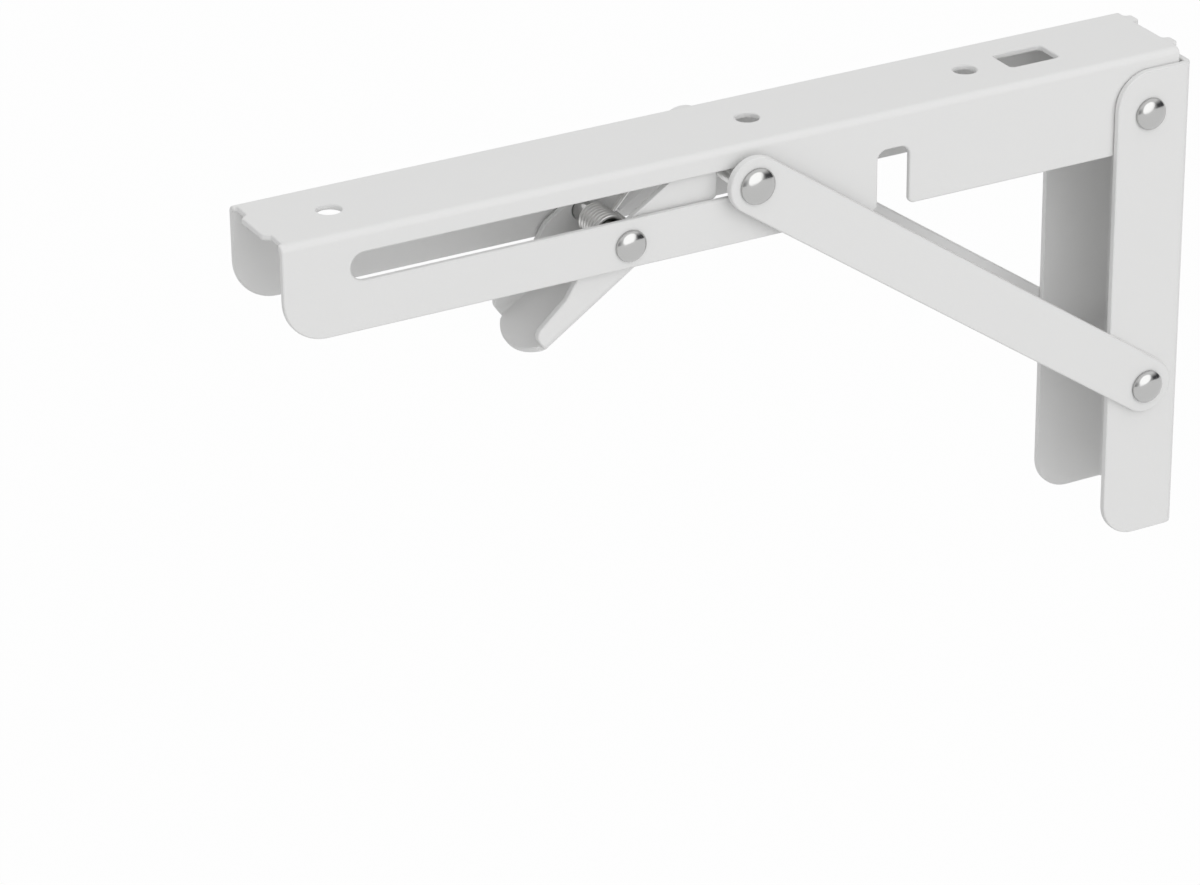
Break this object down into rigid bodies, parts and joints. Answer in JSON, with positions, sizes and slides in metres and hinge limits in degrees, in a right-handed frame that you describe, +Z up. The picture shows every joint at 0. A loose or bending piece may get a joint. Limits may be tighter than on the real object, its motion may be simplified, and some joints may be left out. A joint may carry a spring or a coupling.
{
  "type": "folding shelf bracket",
  "caption": "Folding shelf bracket: a slotted arm hinged to a wall channel, held level by sliding links and locked by a sprung release lever.",
  "frame": {"origin": "on the face that lies against the wall, in the middle of the wall channel's height and width", "axes": "+X into the wall, -X out along the arm, +Y across the bracket, +Z up"},
  "size_m": [0.2508, 0.0419, 0.1325],
  "materials": {
    "coated_steel": "white powder coat",
    "bright_steel": "bright nickel plate",
    "spring_steel": "drawn wire"
  },
  "bodies": {
    "wall_bracket": {"wall_channel": "coated_steel", "rivet_arm_pivot": "bright_steel", "rivet_link_pivot": "bright_steel"},
    "arm": {"shelf_arm": "coated_steel", "rivet_lever_pivot": "bright_steel", "lever_spring": "spring_steel"},
    "links": {"link_near": "coated_steel", "link_far": "coated_steel", "slide_rivet_near": "bright_steel", "slide_rivet_far": "bright_steel"},
    "slider": {"slide_pin_near": "bright_steel", "slide_pin_far": "bright_steel", "slide_washer_near": "bright_steel", "slide_washer_far": "bright_steel"},
    "lever": {"release_lever": "coated_steel"}
  },
  "joints": [
    {"name": "arm_fold", "type": "hinge", "parent": "wall_bracket", "child": "arm", "pos_m": [-0.0125, 0, 0.053], "axis": [0, -1, 0], "range_deg": [0, 90]},
    {"name": "link_swing", "type": "hinge", "parent": "wall_bracket", "child": "links", "pos_m": [-0.0119, 0, -0.0216], "axis": [0, -1, 0], "range_deg": [0, 122.5]},
    {"name": "slider_run", "type": "slide", "parent": "arm", "child": "slider", "axis": [-1, 0, 0], "range_m": [0, 0.1004]},
    {"name": "lever_press", "type": "hinge", "parent": "arm", "child": "lever", "pos_m": [-0.1592, 0, 0.0485], "axis": [0, 1, 0], "range_deg": [0, 34], "stiffness_Nm_per_rad": 0.15, "springref_deg": -17.19, "deforming": ["lever_spring"]}
  ],
  "couplings": [
    {"joint": "link_swing", "follows": "arm_fold", "ratio": 1.3592},
    {"joint": "slider_run", "follows": "arm_fold", "m_per_rad": 0.063854}
  ]
}
